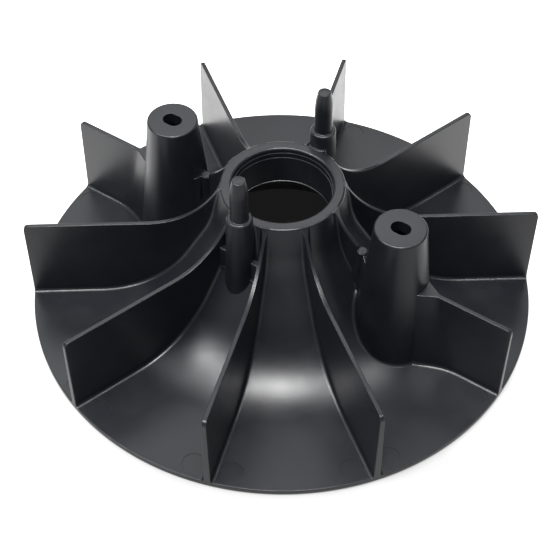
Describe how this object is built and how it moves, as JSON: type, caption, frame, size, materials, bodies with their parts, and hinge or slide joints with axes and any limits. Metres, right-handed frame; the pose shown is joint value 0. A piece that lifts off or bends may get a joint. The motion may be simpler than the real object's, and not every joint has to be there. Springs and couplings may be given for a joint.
{
  "type": "flywheel cooling fan",
  "caption": "Moulded radial fan for a small engine's flywheel, with a bell-shaped hub, straight blades, screw posts and locating pegs for a debris screen.",
  "frame": {"origin": "on the fan's axis of rotation, in the plane of the flat back face", "axes": "+Z along the axis of rotation, towards the hub ring, posts and pegs; +X through the middle of screw post A; +Y through locating peg A"},
  "size_m": [0.23, 0.23, 0.0958],
  "materials": {
    "moulding": "satin black moulded engineering plastic"
  },
  "bodies": {
    "root": {"back_plate": "moulding", "flare": "moulding", "hub_collar": "moulding", "blade_02": "moulding", "blade_03": "moulding", "blade_04": "moulding", "blade_05": "moulding", "blade_07": "moulding", "blade_08": "moulding", "blade_09": "moulding", "blade_10": "moulding", "outer_vane_a": "moulding", "outer_vane_b": "moulding", "inner_web_a": "moulding", "inner_web_b": "moulding", "screw_post_a": "moulding", "screw_post_b": "moulding", "outer_gusset_a": "moulding", "outer_gusset_b": "moulding", "inner_gusset_a": "moulding", "inner_gusset_b": "moulding", "ejector_pad_a": "moulding", "ejector_pad_b": "moulding", "peg_boss_a": "moulding", "peg_boss_b": "moulding", "peg_a": "moulding", "peg_b": "moulding", "boss_web_left_a": "moulding", "boss_web_left_b": "moulding", "boss_web_right_a": "moulding", "boss_web_right_b": "moulding"}
  },
  "joints": []
}
